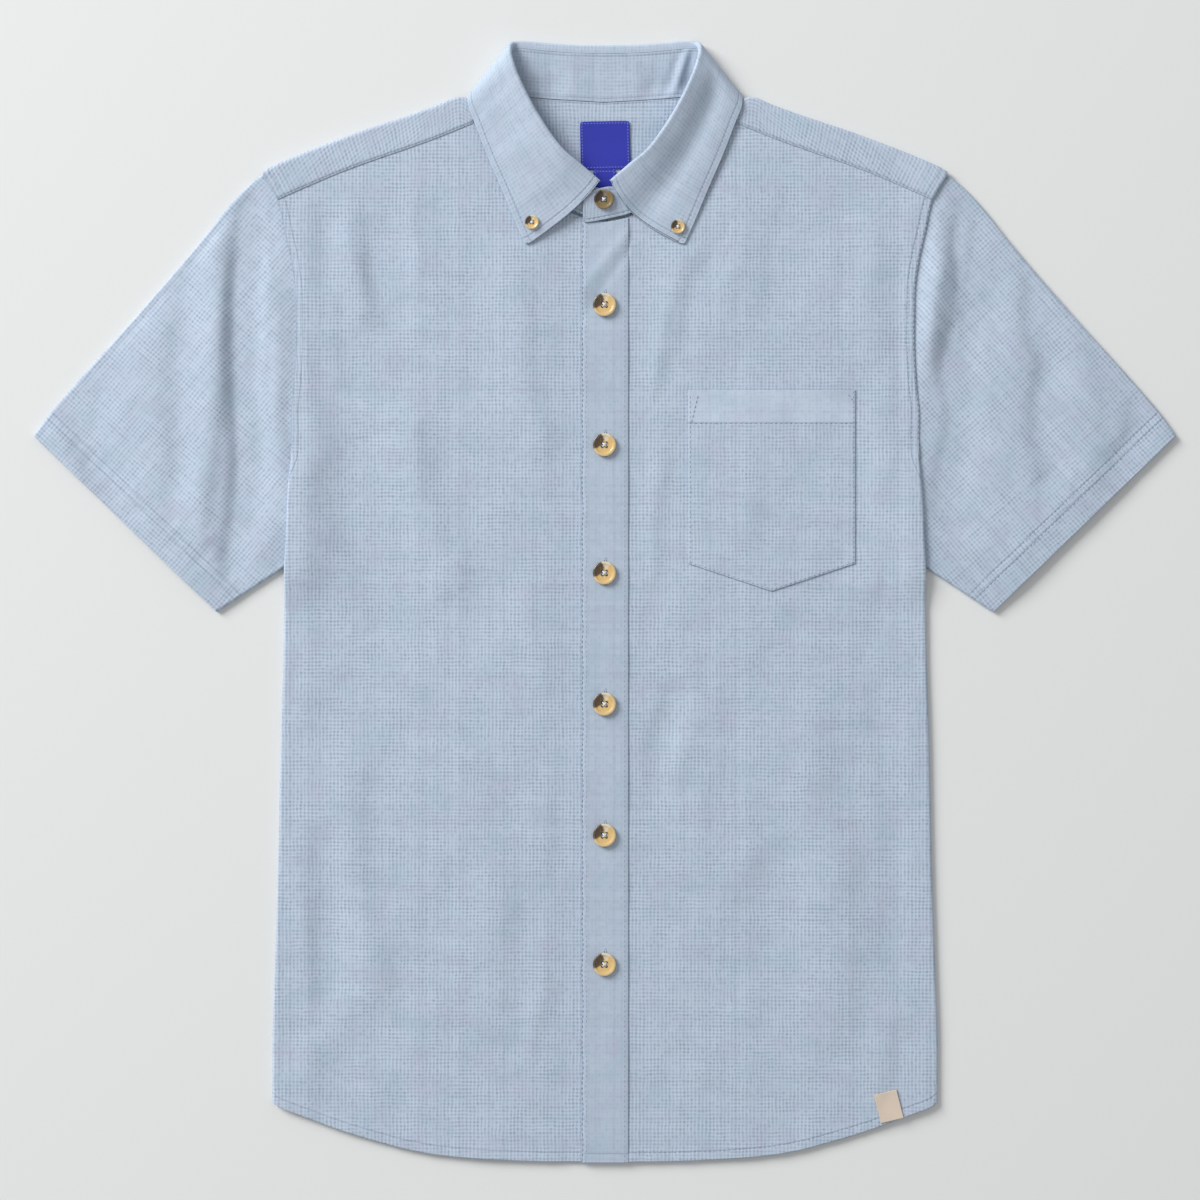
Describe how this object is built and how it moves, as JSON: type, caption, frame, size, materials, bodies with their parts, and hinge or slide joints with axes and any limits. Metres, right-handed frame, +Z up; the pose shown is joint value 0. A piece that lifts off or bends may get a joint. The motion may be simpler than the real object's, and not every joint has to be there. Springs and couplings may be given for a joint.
{
  "type": "short-sleeved fishing shirt",
  "caption": "Short-sleeved button-front fishing shirt with a button-down collar, shoulder yoke and chest pocket, laid flat on its back.",
  "frame": {"origin": "middle of the shirt's outline on the surface it lies on", "axes": "+Z up from the surface through the front, +Y from the hem to the collar, +X across to the wearer's left sleeve"},
  "size_m": [0.8232, 0.8081, 0.0144],
  "materials": {
    "cloth": "matt woven light blue cloth with a small grid weave",
    "horn": "amber and dark brown horn look, satin",
    "label": "blue woven tape",
    "tab": "pale beige woven tape"
  },
  "bodies": {
    "root": {"back_panel": "cloth", "yoke": "cloth", "front_right": "cloth", "front_left": "cloth", "placket": "cloth", "sleeve_right": "cloth", "sleeve_left": "cloth", "collar_stand": "cloth", "collar_leaf": "cloth", "pocket": "cloth", "button_1": "horn", "button_2": "horn", "button_3": "horn", "button_4": "horn", "button_5": "horn", "button_6": "horn", "stand_button": "horn", "collar_button_right": "horn", "collar_button_left": "horn", "neck_label": "label", "size_tab": "label", "hem_tab": "tab"}
  },
  "joints": []
}
